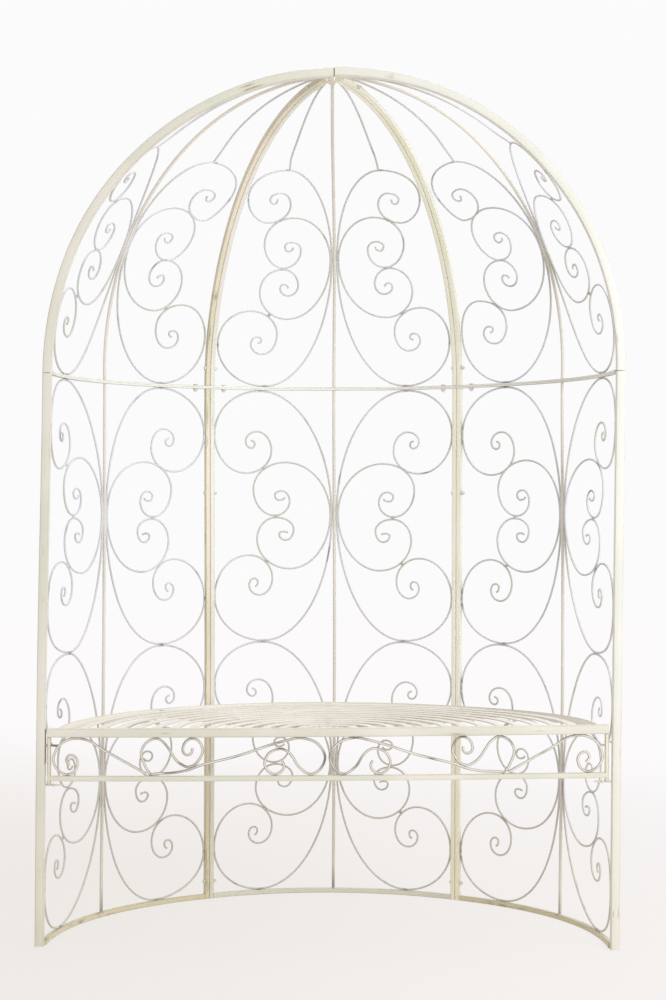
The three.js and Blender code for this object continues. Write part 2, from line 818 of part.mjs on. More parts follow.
function apronPath(shares, sign) {
  const reach = uprightInner - fitGap - apronSide / 2;
  const low = railTop + fitGap + apronSide / 2;
  const high = barUnder - fitGap - apronSide / 2;
  const points = shares.map(
    ([across, height]) => new THREE.Vector3(sign * across * reach, 0, low + height * (high - low)),
  );
  const curve = new THREE.CatmullRomCurve3(points);
  const front = new THREE.Vector3(0, -1, 0);
  return spread(0, 1, (points.length - 1) * apronStepsPerPoint).map((t) => ({
    centre: curve.getPoint(t),
    out: front,
  }));
}

for (const side of sides) {
  add("bench_" + side.name + "_end", benchEnd(side.sign), creamPaint);
  const [endPath, middlePath, innerPath] = [apronEndShares, apronMiddleShares, apronInnerShares].map(
    (shares) => apronPath(shares, side.sign),
  );
  const rod = (path) => bentBar(path, apronSide, apronSide);
  add("bench_" + side.name + "_end_scroll", rod(endPath), brushedCream);
  const pastFoot = (path) => path.slice(Math.round(footShare * path.length)).map(({ centre }) => centre);
  const bead = weldBead(pastFoot(middlePath), pastFoot(innerPath), apronSide);
  const pair = joined([rod(middlePath), rod(innerPath), bead]);
  add("bench_" + side.name + "_middle_scroll", pair, brushedCream);
  for (const [level, drop, grip] of [
    ["upper", upperBoltDrop, endPlate + uprightWidth],
    ["lower", lowerBoltDrop, endPlate],
  ]) {
    const stud = side.sign > 0 ? benchStud(grip) : benchStud(grip).rotateZ(Math.PI);
    add("bench_" + side.name + "_" + level + "_bolt", stud, zincPlate).position.z = seatHeight - drop;
  }
  // A spacer behind the rim carries the back of the bench on the middle panel's side member.
  const joint = side.sign * halfSpan;
  const near = rimRadius + rimThickness / 2 + fitGap;
  const length = panelInner - fitGap - near;
  const spacer = new THREE.CylinderGeometry(spacerSize / 2, spacerSize / 2, length, rodSides);
  const mesh = add("bench_" + side.name + "_rear_spacer", spacer, zincPlate);
  mesh.position
    .copy(onPlan(joint, near + length / 2, seatHeight - rimHeight / 2))
    .addScaledVector(along(joint), -side.sign * sideOffset);
  mesh.rotation.z = -joint;
}

export default arbour;
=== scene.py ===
import math
import random

import bmesh
import bpy
from mathutils import Matrix, Vector, kdtree


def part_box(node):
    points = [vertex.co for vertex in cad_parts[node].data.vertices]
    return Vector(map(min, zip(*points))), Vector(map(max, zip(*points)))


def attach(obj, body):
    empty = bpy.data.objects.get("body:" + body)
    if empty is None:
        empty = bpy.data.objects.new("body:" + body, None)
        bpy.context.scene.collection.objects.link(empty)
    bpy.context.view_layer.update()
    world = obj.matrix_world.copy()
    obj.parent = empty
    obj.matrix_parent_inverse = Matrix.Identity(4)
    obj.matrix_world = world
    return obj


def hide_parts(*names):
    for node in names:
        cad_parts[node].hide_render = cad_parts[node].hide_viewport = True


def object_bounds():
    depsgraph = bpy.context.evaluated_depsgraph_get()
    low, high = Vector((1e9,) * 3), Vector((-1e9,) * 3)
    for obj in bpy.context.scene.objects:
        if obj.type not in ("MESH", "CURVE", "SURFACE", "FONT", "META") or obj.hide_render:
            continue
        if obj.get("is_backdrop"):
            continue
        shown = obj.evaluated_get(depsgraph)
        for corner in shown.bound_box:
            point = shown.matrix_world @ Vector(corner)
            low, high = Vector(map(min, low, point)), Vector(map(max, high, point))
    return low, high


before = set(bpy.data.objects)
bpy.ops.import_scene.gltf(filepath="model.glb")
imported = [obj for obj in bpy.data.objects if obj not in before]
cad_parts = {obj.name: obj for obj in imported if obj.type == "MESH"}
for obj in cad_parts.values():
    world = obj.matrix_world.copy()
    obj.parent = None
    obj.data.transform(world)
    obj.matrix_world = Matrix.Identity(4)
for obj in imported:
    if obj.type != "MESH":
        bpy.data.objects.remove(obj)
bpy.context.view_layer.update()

# The front posts and the arch over them. They are 20 mm square steel tube, bent to a half ellipse in two
# halves joined at the crown, and are coated in antique cream paint that is brushed thinly with brown grey.
post_low, post_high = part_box("left_front_post")
post_tube = post_high.x - post_low.x
post_wall = 0.0015
post_corner = 0.0022  # radius of the tube's corners
foot_depth = 0.03  # how far the open foot of a post is hollow
ring_height = post_high.z
axis = Vector((0, (post_low.y + post_high.y) / 2, 0))  # the middle of the half round
arch_radius = -(post_low.x + post_high.x) / 2
arch_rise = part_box("left_arch_half")[1].z - ring_height - post_tube / 2
# The halves don't quite meet, 4 mm off the middle, and the right one is higher.
crown_gap, crown_step, crown_off = 0.0015, 0.0015, 0.004
fit_gap = 0.0003  # between pieces that touch
up = Vector((0, 0, 1))
sides = (("left", -1), ("right", 1))
chance = random.Random(11)

# The real one is made by hand and stands a little out of true. These are the millimetres by which it is off,
# measured on the photograph: a column for each 30 degrees from the left post round to the right one.
sideways = (
    (-8, -4, 6, 3, -5, 2, -2),  # on the floor
    (-5, 0, 6, 4, -4, 7, 2),  # half way up the wall
    (4, 0, 3, 0, -4, 4, 8),  # at the ring
    (2, 1, 4, 1, -2, 6, 12),  # a third of the way up the dome
    (2, 0, 2, -2, 1, 4, 6),  # two thirds of the way
    (1, 1, 1, 1, 1, 1, 1),  # at the crown
)
upwards = (
    (0, 0, 0, 0, 0, 0, 0),
    (0, 0, 0, 0, 0, 0, 0),
    (-5, -4, -2, 0, 1, 2, 2),
    (-2, 0, -1, 0, 0, 3, 7),
    (-4, 1, -1, 0, 0, 6, 9),
    (0, 0, 0, 0, 0, 0, 0),
)
column_degrees = 30
inner_radius = 0.6  # inside this radius, a level under the ring straightens towards the middle
bench_reach = 0.640  # everything inside this radius at the height of the bench is the bench
bench_low, bench_high = 0.36, 0.51
bench_left = 0.0015  # it hangs this far to the left, and lower there than on the right
bench_tilt, bench_bow, bench_drop = 0.0118, 0.0074, 0.0011
back_sag = 0.0025  # at its back


def catmull(a, b, c, d, t):
    """A place from b to c on the Catmull-Rom curve through all four."""
    return b + ((c - a) * t + (a * 2 - b * 5 + c * 4 - d) * t**2 + (b * 3 - a - c * 3 + d) * t**3) / 2


def between(values, place):
    """A smooth value between those of a row."""
    last = len(values) - 1
    i = max(0, min(int(place), last - 1))
    return catmull(*(values[max(0, min(k, last))] for k in range(i - 1, i + 3)), place - i)


def settled(point):
    """Where a point of the drawing lies on the real one."""
    x, y, z = point - axis
    radius = math.hypot(x, y)
    column = math.degrees(math.atan2(x, max(y, 0))) / column_degrees + 3
    if z < ring_height:
        row, round_share = z / ring_height * 2, min(radius / inner_radius, 1) ** 4
    else:
        row, round_share = 2 + math.asin(min((z - ring_height) / arch_rise, 1)) / math.pi * 6, 1
    across = (x / arch_radius + 1) / 2
    shift = []
    for table in (sideways, upwards):
        level = [between(line, row) for line in zip(*table)]
        straight = level[0] + (level[-1] - level[0]) * across
        shift.append((between(level, column) * round_share + straight * (1 - round_share)) / 1000)
    if radius < bench_reach and bench_low < z < bench_high:
        depth = y / bench_reach
        shift[0] -= bench_left
        front = bench_tilt * x + bench_bow * x * x - bench_drop
        shift[1] += front * (1 - depth) - back_sag * depth
    return point + Vector((shift[0], 0, shift[1]))


def linear(code):
    """A linear colour from an sRGB hex code."""
    channels = [int(code[i : i + 2], 16) / 255 for i in (1, 3, 5)]
    return [c / 12.92 if c <= 0.04045 else ((c + 0.055) / 1.055) ** 2.4 for c in channels] + [1]


def node(tree, kind, sockets, take=0, **settings):
    """Adds a node and gives back one of its outputs. A socket takes a value or another node's output."""
    made = tree.nodes.new("ShaderNode" + kind)
    for name, value in settings.items():
        setattr(made, name, value)
    for key, value in sockets.items():
        if isinstance(value, bpy.types.NodeSocket):
            tree.links.new(value, made.inputs[key])
        else:
            made.inputs[key].default_value = value
    if made.outputs:
        return made.outputs[take]


def bare_tree(owner):
    """The node tree of a material or the world, emptied."""
    owner.use_nodes = True
    owner.node_tree.nodes.clear()
    return owner.node_tree


# Where patina stays against an edge, and where painted shade darkens one: how far out in a section it
# starts, of 1, and how strong it gets.
edge_patina_and_shade = {
    "corners": (0.62, 0.42),  # of a tube
    "chipped": (0.5, 0.85),  # also its corners, with the coat knocked off
    "rims": (0.25, 0.9),  # the two sides of a rod, across X
    "sides": (0.92, 0.34),  # the two narrow sides of a flat bar, across Y, darkened as painted shade
    "one": (0.1, 0.7),  # the side of a flat bar towards X, darkened with the patina colour as painted shade
}
patch_width, drift_width = 0.06, 0.22  # of darker patches, and of the drift from one cream to the other
brush_ripple = 0.002  # the coat has a fine ripple from the brush
low_level, high_level = 0.1, 0.6  # lower down, the coat gets more patina and turns yellower and greener


def antique_paint(name, cream, shade, patina, rubbed=0, rough=0.42, stroke=(0.006, 0.11), edges=None):
    """Satin enamel on steel, brushed with a thin brown-grey patina that stays in streaks and along edges.

    The eye gets a soft highlight, a cream that drifts from warm to greenish, and darker strokes along each
    bar. Welds are browner, where the heat has burnt through the coat. Along the edges called sides and one,
    the darker edge is painted shade.
    """
    material = bpy.data.materials.new(name)
    tree = bare_tree(material)
    unbent = node(tree, "Attribute", {}, "Vector", attribute_name="unbent")
    place = node(tree, "TexCoord", {}, "Object")
    wide, long = stroke
    brushed = node(tree, "Mapping", {"Vector": unbent, "Scale": (1 / wide, 1 / wide, 1 / long)})
    strokes = node(tree, "TexNoise", {"Vector": brushed, "Scale": 1})
    patches = node(tree, "TexNoise", {"Vector": place, "Scale": 1 / patch_width})
    drift = node(tree, "TexNoise", {"Vector": place, "Scale": 1 / drift_width, "Detail": 1})
    ripple = node(tree, "TexNoise", {"Vector": place, "Scale": 1 / brush_ripple, "Detail": 1})
    height = node(tree, "SeparateXYZ", {0: place}, 2)
    low = node(tree, "MapRange", {0: height, 1: low_level, 2: high_level, 3: 1, 4: 0})

    both = node(tree, "Math", {0: strokes, 1: patches})
    both = node(tree, "Math", {0: low, 1: 0.06, 2: both}, operation="MULTIPLY_ADD")
    worn = {0: both, 1: 1.2 - rubbed, 2: 1.5 - rubbed, 3: 0, 4: 0.8}
    stain_and_shade = node(tree, "MapRange", worn, interpolation_type="SMOOTHSTEP")
    greener = node(tree, "Math", {0: low, 1: 0.24, 2: drift}, operation="MULTIPLY_ADD")
    drifted = {0: greener, 1: 0.35, 2: 0.65}
    toned = node(tree, "MapRange", drifted, interpolation_type="SMOOTHSTEP")
    base = node(tree, "Mix", {0: toned, 6: linear(cream), 7: linear(shade)}, 2, data_type="RGBA")
    yellowed = {0: low, 6: base, 7: linear("#fffdf9")}
    base = node(tree, "Mix", yellowed, 2, data_type="RGBA", blend_type="MULTIPLY")
    # On the sides and one edges this darker edge is painted shade; on the other edges it is patina.
    if edges:
        section = node(tree, "Attribute", {}, "Vector", attribute_name="section")
        x, y = (node(tree, "SeparateXYZ", {0: section}, i) for i in (0, 1))
        across, through = (node(tree, "Math", {0: part}, operation="ABSOLUTE") for part in (x, y))
        if edges in ("corners", "chipped"):
            near = node(tree, "Math", {0: across, 1: through}, operation="MINIMUM")
        else:
            near = {"rims": across, "sides": through, "one": x}[edges]
        start, most = edge_patina_and_shade[edges]
        kept = {0: near, 1: start, 2: 1, 3: 0, 4: most}
        rim = node(tree, "MapRange", kept, interpolation_type="SMOOTHSTEP")
        broken = node(tree, "MapRange", {0: strokes, 1: 0.3, 2: 0.6, 3: 0.35, 4: 1})
        rim = node(tree, "Math", {0: rim, 1: broken}, operation="MULTIPLY")
        stain_and_shade = node(tree, "Math", {0: stain_and_shade, 1: rim}, operation="MAXIMUM")
    wiped = node(tree, "Mix", {0: stain_and_shade, 6: base, 7: linear(patina)}, 2, data_type="RGBA")
    burnt = node(tree, "Attribute", {}, "Fac", attribute_name="burnt")
    coat = node(tree, "Mix", {0: burnt, 6: wiped, 7: linear("#5c4e41")}, 2, data_type="RGBA")
    gloss = node(tree, "MapRange", {0: strokes, 1: 0.3, 2: 0.7, 3: rough - 0.06, 4: rough + 0.1})
    bump = node(tree, "Bump", {"Height": ripple, "Strength": 0.12, "Distance": 0.0002})
    enamel = {"Base Color": coat, "Roughness": gloss, "IOR": 1.5, "Normal": bump}
    node(tree, "OutputMaterial", {"Surface": node(tree, "BsdfPrincipled", enamel)})
    return material


def stand(centre, out, run):
    """Where a bar's outline stands on the real one: Y outwards and Z along the bar."""
    run = run.normalized()
    across = out.cross(run).normalized()
    place = Matrix((across, run.cross(across), run)).transposed().to_4x4()
    place.translation = settled(centre)
    return place


def spread(low, high, steps):
    return [low + (high - low) * i / steps for i in range(steps + 1)]


def rounded(bm, geom, offset, segments=2, affect="EDGES"):
    bmesh.ops.bevel(bm, geom=geom, affect=affect, offset=offset, segments=segments, profile=0.5, material=-1)


def square_outline(width, depth, corner):
    """A flat outline with rounded corners about the origin."""
    bm = bmesh.new()
    bmesh.ops.create_grid(bm, x_segments=1, y_segments=1, size=0.5)
    bmesh.ops.scale(bm, vec=(width, depth, 1), verts=bm.verts)
    rounded(bm, list(bm.verts), corner, 3, "VERTICES")
    return bm


def carried(bm, stations):
    """Extrudes the outline along its stations and notes where each point lies on the unbent bar."""
    unbent = bm.verts.layers.float_vector.new("unbent")
    section = bm.verts.layers.float_vector.new("section")
    start = Vector((0, 0, chance.uniform(0, 9)))
    half = Vector([max(vert.co[i] for vert in bm.verts) for i in (0, 1)])
    for vert in bm.verts:
        vert[unbent] = vert.co + start
        vert[section] = Vector((vert.co.x / half.x, vert.co.y / half.y, 0))
    bmesh.ops.transform(bm, matrix=stations[0], verts=bm.verts)
    rim = list(bm.edges)
    for here, there in zip(stations, stations[1:]):
        grown = bmesh.ops.extrude_edge_only(bm, edges=rim)["geom"]
        ring = {v for v in grown if isinstance(v, bmesh.types.BMVert)}
        rim = [e for e in grown if isinstance(e, bmesh.types.BMEdge) and set(e.verts) <= ring]
        bmesh.ops.transform(bm, matrix=there @ here.inverted(), verts=list(ring))
        step = (there.translation - here.translation).length
        for vert in ring:
            vert[unbent] = vert[unbent] + Vector((0, 0, step))
    bmesh.ops.contextual_create(bm, geom=rim)
    return bm


sheared_share = 0.72  # of a bar's width is left at a sheared end


def blunted(stations, depth):
    """The same stations with both ends drawn in, as on a sheared bar."""
    drawn = Matrix.Diagonal((sheared_share, sheared_share, 1, 1))
    first = stations[0] @ Matrix.Translation((0, 0, -depth)) @ drawn
    last = stations[-1] @ Matrix.Translation((0, 0, depth)) @ drawn
    return [first, *stations, last]


def placed(name, data):
    made = bpy.data.objects.new(name, data)
    bpy.context.collection.objects.link(made)
    return made


weld_reach = 0.0045  # how far the brown of a weld runs out


def piece(name, parts, material, welds=()):
    """Joins the parts of a piece, which stands for the CAD node of that name."""
    whole = bmesh.new()
    for part in parts:
        held = bpy.data.meshes.new("held")
        part.to_mesh(held)
        part.free()
        whole.from_mesh(held)
        bpy.data.meshes.remove(held)
    bmesh.ops.recalc_face_normals(whole, faces=whole.faces)
    if welds:
        burnt = whole.verts.layers.float.new("burnt")
        nearest = kdtree.KDTree(len(welds))
        for i, (centre, _) in enumerate(welds):
            nearest.insert(settled(centre), i)
        nearest.balance()
        for vert in whole.verts:
            _, i, far = nearest.find(vert.co)
            vert[burnt] = welds[i][1] * math.exp(-((far / weld_reach) ** 2))
    mesh = bpy.data.meshes.new("painted_" + name)
    whole.to_mesh(mesh)
    whole.free()
    mesh.shade_smooth()
    mesh.set_sharp_from_angle(angle=math.radians(35))
    mesh.materials.append(material)
    made = placed("painted_" + name, mesh)
    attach(made, "root")
    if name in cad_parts:
        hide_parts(name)


def upright_arc(radius, rise, low, high, steps, outwards, shift):
    """Stations of a bar bent to an ellipse in an upright plane through the axis, or beside it."""
    stations = []
    for lift in spread(low, high, steps):
        slope = math.atan2(radius * math.sin(lift), rise * math.cos(lift))
        height = ring_height + rise * math.sin(lift)
        centre = axis + shift + outwards * radius * math.cos(lift) + up * height
        out = outwards * math.cos(slope) + up * math.sin(slope)
        stations.append(stand(centre, out, up * math.cos(slope) - outwards * math.sin(slope)))
    return stations


# The right post and its half of the arch are painted paler than the left, as painted light from the key light
# on the right.
tube_cream = antique_paint("antique_cream_enamel", "#e9e4da", "#dddbcd", "#a0937f", edges="corners")
painted_light_right_cream = antique_paint(
    "painted_light_tube_enamel", "#eae8e0", "#e4e2d8", "#a0937f", rubbed=-0.02, edges="corners"
)
for (side, sign), paint in zip(sides, (tube_cream, painted_light_right_cream)):
    outwards = Vector((sign, 0, 0))
    foot = axis + outwards * arch_radius
    stations = [stand(foot + up * z, outwards, up) for z in spread(0, ring_height, 24)]
    post = carried(square_outline(post_tube, post_tube, post_corner), stations)
    # The foot is the open end of the tube.
    post.faces.ensure_lookup_table()
    sole = min(post.faces, key=lambda face: face.calc_center_median().z)
    bmesh.ops.inset_region(post, faces=[sole], thickness=post_wall, use_even_offset=True)
    bmesh.ops.translate(post, vec=up * foot_depth, verts=sole.verts)
    piece(side + "_front_post", [post], paint)

    low = math.asin(fit_gap / arch_rise)
    high = math.acos((crown_gap + sign * crown_off) / arch_radius)
    stations = upright_arc(arch_radius, arch_rise, low, high, 72, outwards, up * sign * crown_step)
    half = carried(square_outline(post_tube, post_tube, post_corner), stations)
    piece(side + "_arch_half", [half], paint)

# The panels' frames: side members and bottom rails of 12 mm square tube, and two flat bars at the ring where
# the wall meets the dome. All follow one half round, and are welded and painted like the posts.
panel_inset = 0.008  # from the middle of the posts in to that of the panels
panel_radius = arch_radius - panel_inset
dome_rise = arch_rise - panel_inset
panel_tube = 0.012
panel_corner = 0.0016
ring_bar = 0.004
ring_corner = 0.0007
burr = 0.0002  # how far a sheared end stands out
panels = (("left", -1), ("centre", 0), ("right", 1))
half_span = math.pi / 6  # half the turn of a panel
side_offset = (fit_gap + panel_tube) / 2
joint_edge = fit_gap / 2 + panel_tube
ring_under = ring_height - ring_bar
dome_bar_top = ring_height + fit_gap + ring_bar
dome_from = math.asin((dome_bar_top + fit_gap - ring_height) / dome_rise)
rib_to = 1.5195  # the ribs end at this lift, short of the apex


def outward(angle):
    return Vector((math.sin(angle), math.cos(angle), 0))


def along(angle):
    return Vector((math.cos(angle), -math.sin(angle), 0))


def on_plan(angle, radius, height):
    return axis + outward(angle) * radius + up * height


def level_arc(radius, height, low, high, steps):
    """A half round from low to high, or back from a low that is above high."""
    way = 1 if high > low else -1
    return [stand(on_plan(a, radius, height), outward(a), along(a) * way) for a in spread(low, high, steps)]


def level_end(clearance):
    """The turn at which a level bar ends, so that its inner corner has this clearance to the joint."""
    return half_span - math.asin(clearance / (panel_radius - panel_tube / 2))


def panel_tube_bar(stations):
    return carried(square_outline(panel_tube, panel_tube, panel_corner), blunted(stations, burr))


# The left joint has yellowed to olive, and the rings are paler. The right joint is painted paler still, as
# painted light, since it faces away from the key light. Along one edge of a ring's bar the patina colour is
# painted shade: the lower edge on the wall and the upper one on the dome.
olive_cream = antique_paint(
    "olive_cream_enamel", "#e7ddc9", "#d8cfb4", "#83765d", rubbed=0.08, edges="corners"
)
painted_light_cream = antique_paint(
    "painted_light_joint_enamel", "#fbf8ea", "#f4f1dc", "#8a7b65", rubbed=-0.04, edges="corners"
)
ring_cream = antique_paint("pale_cream_enamel", "#f3f0ea", "#edebe4", "#8a8275", rubbed=-0.1, edges="one")
joint_paint = {("left", "right"): olive_cream, ("centre", "left"): tube_cream}
for panel, turn in panels:
    angle = turn * 2 * half_span
    edges = [post_tube / 2 if turn == sign else joint_edge for _, sign in sides]
    low, high = (level_end(edge + fit_gap) for edge in edges)
    rail = level_arc(panel_radius, panel_tube / 2, angle - low, angle + high, 40)
    paint = olive_cream if turn else tube_cream
    piece(panel + "_wall_bottom_rail", [panel_tube_bar(rail)], paint)
    low, high = (level_end(post_tube / 2 + fit_gap if turn == sign else fit_gap / 2) for _, sign in sides)
    for bar_name, height, ends in (
        ("_wall_top_bar", ring_under, (angle - low, angle + high)),
        ("_dome_bottom_bar", ring_height + fit_gap, (angle + high, angle - low)),
    ):
        bar = level_arc(panel_radius, height + ring_bar / 2, *ends, 40)
        flat = carried(square_outline(ring_bar, panel_tube, ring_corner), blunted(bar, burr))
        piece(panel + bar_name, [flat], ring_cream)
    for side, sign in sides:
        if turn == sign:
            continue
        joint = angle + sign * half_span
        shift = along(joint) * -sign * side_offset
        paint = joint_paint.get((panel, side), painted_light_cream)
        member = [
            stand(on_plan(joint, panel_radius, z) + shift, outward(joint), up)
            for z in spread(0, ring_under - fit_gap, 20)
        ]
        piece(panel + "_wall_side_member_" + side, [panel_tube_bar(member)], paint)
        rib = upright_arc(panel_radius, dome_rise, dome_from, rib_to, 64, outward(joint), shift)
        piece(panel + "_dome_rib_" + side, [panel_tube_bar(rib)], paint)

# The centre rods and the scrolls of the wall: 8 mm and 5 mm round steel rod, cold bent into C-shaped pairs of
# curls, laid against each other and the frame, and spot welded. The rods are rubbed darker than the tubes.
centre_rod = 0.008
scroll_rod = 0.005
weld_bite = 0.0008  # how far one rod sinks into another at a weld
scroll_half = scroll_rod * math.sqrt(math.pi) / 4  # half the side of a square rod as thick as this round one
rod_contact = centre_rod / 2 + fit_gap + scroll_half
spine_step = scroll_half * 2 - weld_bite
wall_base = panel_tube + fit_gap + scroll_half
wall_top = ring_under - fit_gap - scroll_half
wall_middle = (wall_base + wall_top) / 2
unit_lap = scroll_half - weld_bite / 2
wall_units = ((wall_middle + unit_lap, wall_top), (wall_base, wall_middle - unit_lap))

# The turning points of a field's four scrolls, as shares of the way across from the centre rod and up the
# field: outer upper, outer lower, inner upper and inner lower.
wall_shares = (
    (
        (0, 0.503), (0.6, 1), (1, 0.826), (0.717, 0.672), (0.498, 0.764), (0.622, 0.84), (0.719, 0.8),
        (0.671, 0.773), (0.64, 0.789), (0.672, 0.803),
    ),
    (
        (0, 0.503), (0.6, 0), (1, 0.176), (0.695, 0.341), (0.494, 0.248), (0.606, 0.18), (0.693, 0.22),
        (0.649, 0.247), (0.618, 0.233), (0.641, 0.215),
    ),
    (
        (0, 0.503), (0.385, 0.716), (0.66, 0.605), (0.478, 0.501), (0.352, 0.559), (0.421, 0.601),
        (0.477, 0.582), (0.439, 0.563), (0.394, 0.574),
    ),
    (
        (0, 0.503), (0.352, 0.286), (0.63, 0.404), (0.465, 0.493), (0.319, 0.445), (0.385, 0.401),
        (0.442, 0.425), (0.408, 0.436), (0.371, 0.43),
    ),
)

# No two scrolls are bent alike. Where one is off the drawing by enough to see in the photograph, this says by
# how many millimetres its curl lies further from the centre rod and how many higher, and for an outer one how
# much further out its long arc turns. The four are outer top, outer bottom, inner top and inner bottom.
wall_hand = {
    ("left", "left", "upper"): ((0, 0, 0), (-20, -8, -48), (-16, 0), (-16, -2)),
    ("left", "right", "upper"): ((0, 0, -3), (7, -10, 0), (11, -5), (12, -5)),
    ("centre", "left", "upper"): ((2, -2, 0), (2, -2, -9), (0, -2), (0, -2)),
    ("centre", "right", "upper"): ((-4, -4, 0), (5, -10, -8), (2, -6), (3, -7)),
    ("right", "left", "upper"): ((4, -9, 0), (13, -10, 3), (2, -2), (14, -3)),
    ("right", "right", "upper"): ((-10, 0, -5), (-22, -9, -28), (-6, -5), (-18, -4)),
    ("left", "left", "lower"): ((-14, -6, -38), (5, 0, 0), (0, 0), (-8, 0)),
    ("left", "right", "lower"): ((2, -6, 0), (7, -13, -12), (13, -12), (11, -8)),
    ("centre", "left", "lower"): ((0, 2, -3), (2, 2, 0), (2, 4), (3, 4)),
    ("centre", "right", "lower"): ((-8, -4, -14), (4, -5, 0), (0, -3), (0, -3)),
    ("right", "left", "lower"): ((8, -6, 15), (10, -3, 0), (2, 0), (16, 5)),
    ("right", "right", "lower"): ((-20, 3, -38), (-13, -3, 0), (-7, -5), (-10, -2)),
}
# The upper scrolls meet the lower ones a little under the middle, on the panels at the left and the back.
meeting_drop = {"left": 0.005, "centre": 0.004, "right": 0}
inner_reach = 1.3  # the arc of an inner scroll moves this many times as far as its curl


def hand_bent(drawn, off):
    """The turning points of a drawn scroll as this one was bent."""
    across, rise, *reach = (value / 1000 for value in off)
    arc = (reach[0], 0) if reach else (across * inner_reach, rise)
    touch = (0 if reach else across, rise / 2)
    offs = [(0, 0), arc, touch] + [(across, rise)] * (len(drawn) - 3)
    return [(x + dx, y + dy) for (x, y), (dx, dy) in zip(drawn, offs)]


def bent_rows(fields, hands):
    """The turning points of a field's four scrolls as they were bent."""
    rows = []
    for run, (drawn, off) in enumerate(zip(fields, hands)):
        inner = run > 1
        drawn[0] = (rod_contact + spine_step * inner, drawn[0][1])
        rows.append(hand_bent(drawn, off))
    return rows


turn_step = 0.007  # a quarter turn has about one step for each of these, from 5 to 22


def turns(rows, start=0):
    """Quarter ellipses from one turning point to the next, the first leaving upright."""
    run = [rows[start]]
    for i in range(start, len(rows) - 1):
        (x0, y0), (x1, y1) = rows[i], rows[i + 1]
        steps = max(5, min(22, round(math.hypot(x1 - x0, y1 - y0) / turn_step)))
        for turn in spread(0, math.pi / 2, steps)[1:]:
            slow, fast = 1 - math.cos(turn), math.sin(turn)
            if i % 2:
                slow, fast = fast, slow
            run.append((x0 + (x1 - x0) * slow, y0 + (y1 - y0) * fast))
    return run


def rod(points, outs, radius, around=12):
    """A round rod through the points, with its ends sheared."""
    last = len(points) - 1
    stations = [
        stand(point, outs[i], points[min(i + 1, last)] - points[max(i - 1, 0)])
        for i, point in enumerate(points)
    ]
    bm = bmesh.new()
    bmesh.ops.create_circle(bm, cap_ends=True, segments=around, radius=radius)
    return carried(bm, blunted(stations, radius / 5))


def unbent_here(bm):
    """For a part that isn't bent, its own place is its place on the unbent bar."""
    unbent = bm.verts.layers.float_vector.new("unbent")
    for vert in bm.verts:
        vert[unbent] = vert.co.copy()
    return bm


def bead(centre, size, flat):
    """A spot of weld, squeezed between the rods that it joins."""
    bm = bmesh.new()
    place = Matrix.Translation(settled(centre)) @ flat.to_track_quat("Z", "Y").to_matrix().to_4x4()
    squeezed = place @ Matrix.Diagonal((1, 1, 0.75, 1))
    bmesh.ops.create_icosphere(bm, subdivisions=2, radius=size, matrix=squeezed)
    return unbent_here(bm)


def closest(first, second):
    """The middle and the width of the narrowest gap between two runs of points."""
    tree = kdtree.KDTree(len(second))
    for i, point in enumerate(second):
        tree.insert(point, i)
    tree.balance()
    found = [(point, *tree.find(point)) for point in first]
    one, other, _, far = min(found, key=lambda each: each[3])
    return (one + other) / 2, far


bead_edge = 0.0006  # how far a bead stands past the gap that it fills
bead_most = scroll_rod * 1.4


def scroll_pair(upper_out, lower_out, upper_in, lower_in, place):
    """Two C-shaped rods and the welds between their curls."""
    parts, welds = [], []
    for upper, lower in ((upper_out, lower_out), (upper_in, lower_in)):
        run = turns(upper)[::-1] + turns(lower)[1:]
        points, outs = zip(*(place(*spot) for spot in run))
        parts.append(rod(points, outs, scroll_rod / 2))
    touching = ((upper_out, upper_in, 1), (lower_out, lower_in, 1), (upper_in, lower_in, 2))
    for first, second, start in touching:
        one = [place(*spot)[0] for spot in turns(first, 2)]
        two = [place(*spot)[0] for spot in turns(second, start)]
        middle, gap = closest(one, two)
        size = min(max(gap, scroll_rod), bead_most) / 2 + bead_edge
        parts.append(bead(middle, size, place(*first[0])[1]))
        welds.append((middle, chance.uniform(0.1, 0.6)))
    return parts, welds


def frame_welds(rows, place):
    """The welds where the outer scrolls touch their frame and the next field."""
    spots = (rows[0][1], rows[1][1], rows[0][2], rows[1][2])
    return [(place(*spot)[0], chance.uniform(0.2, 0.9)) for spot in spots]


rod_cream = antique_paint(
    "rubbed_cream_enamel", "#d7d7de", "#cecbc4", "#777575", rubbed=0.05, rough=0.45, stroke=(0.005, 0.09)
)
centre_cream = antique_paint(
    "thin_cream_enamel", "#e4ddd2", "#dcd7cd", "#8b8176", rough=0.45, stroke=(0.004, 0.07)
)
foot_bead, bead_inset, scorch_inset = 0.0045, 0.003, 0.004
